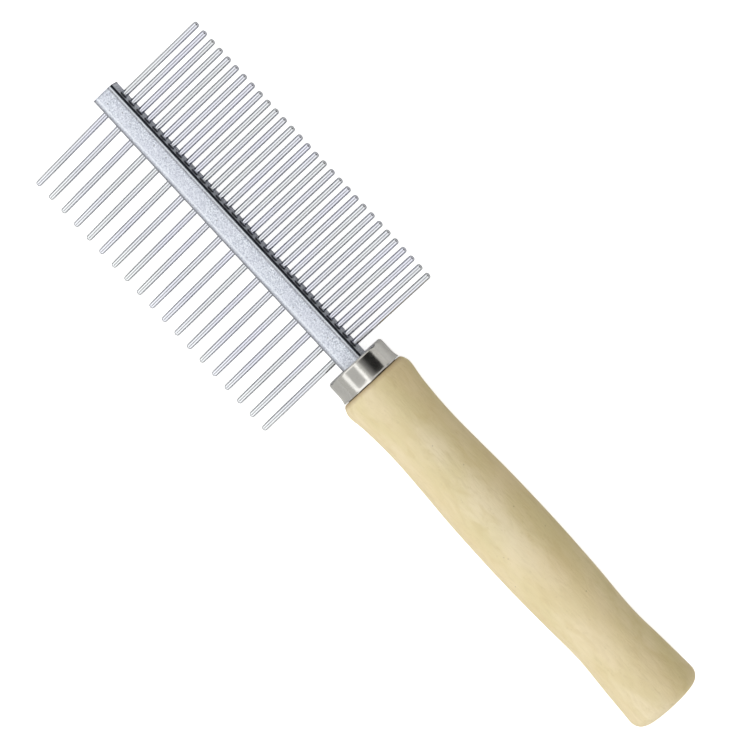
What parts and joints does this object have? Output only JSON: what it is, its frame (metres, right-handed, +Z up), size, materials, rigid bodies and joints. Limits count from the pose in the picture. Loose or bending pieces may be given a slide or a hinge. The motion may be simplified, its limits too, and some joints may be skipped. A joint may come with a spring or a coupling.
{
  "type": "double-sided grooming comb",
  "caption": "Pet grooming comb with a folded steel spine, fine pins on one edge, coarse pins on the other, a plated ferrule and a turned wooden handle.",
  "frame": {"origin": "on the surface the comb lies on, under the middle of its bounding box", "axes": "+X runs along the comb from the head to the butt of the handle, +Y points to the fine teeth's side, +Z is up; the comb lies on its round handle and on its coarse tooth tips, rolled 19 degrees about X from flat, so the fine teeth point up and outwards"},
  "size_m": [0.2096, 0.0572, 0.0209],
  "materials": {
    "plated_sheet": "zinc-plated sheet steel, satin, finely speckled",
    "core_steel": "plain mill steel",
    "polished_wire": "polished and plated steel wire",
    "nickel": "bright nickel plate",
    "pale_wood": "sanded and unvarnished"
  },
  "bodies": {
    "root": {"spine_channel": "plated_sheet", "core_bar": "core_steel", "ferrule": "nickel", "handle": "pale_wood", "fine_tooth_01": "polished_wire", "fine_tooth_02": "polished_wire", "fine_tooth_03": "polished_wire", "fine_tooth_04": "polished_wire", "fine_tooth_05": "polished_wire", "fine_tooth_06": "polished_wire", "fine_tooth_07": "polished_wire", "fine_tooth_08": "polished_wire", "fine_tooth_09": "polished_wire", "fine_tooth_10": "polished_wire", "fine_tooth_11": "polished_wire", "fine_tooth_12": "polished_wire", "fine_tooth_13": "polished_wire", "fine_tooth_14": "polished_wire", "fine_tooth_15": "polished_wire", "fine_tooth_16": "polished_wire", "fine_tooth_17": "polished_wire", "fine_tooth_18": "polished_wire", "fine_tooth_19": "polished_wire", "fine_tooth_20": "polished_wire", "fine_tooth_21": "polished_wire", "fine_tooth_22": "polished_wire", "fine_tooth_23": "polished_wire", "fine_tooth_24": "polished_wire", "fine_tooth_25": "polished_wire", "fine_tooth_26": "polished_wire", "fine_tooth_27": "polished_wire", "fine_tooth_28": "polished_wire", "fine_tooth_29": "polished_wire", "fine_tooth_30": "polished_wire", "coarse_tooth_01": "polished_wire", "coarse_tooth_02": "polished_wire", "coarse_tooth_03": "polished_wire", "coarse_tooth_04": "polished_wire", "coarse_tooth_05": "polished_wire", "coarse_tooth_06": "polished_wire", "coarse_tooth_07": "polished_wire", "coarse_tooth_08": "polished_wire", "coarse_tooth_09": "polished_wire", "coarse_tooth_10": "polished_wire", "coarse_tooth_11": "polished_wire", "coarse_tooth_12": "polished_wire", "coarse_tooth_13": "polished_wire", "coarse_tooth_14": "polished_wire", "coarse_tooth_15": "polished_wire", "coarse_tooth_16": "polished_wire", "coarse_tooth_17": "polished_wire", "coarse_tooth_18": "polished_wire", "coarse_tooth_19": "polished_wire"}
  },
  "joints": []
}
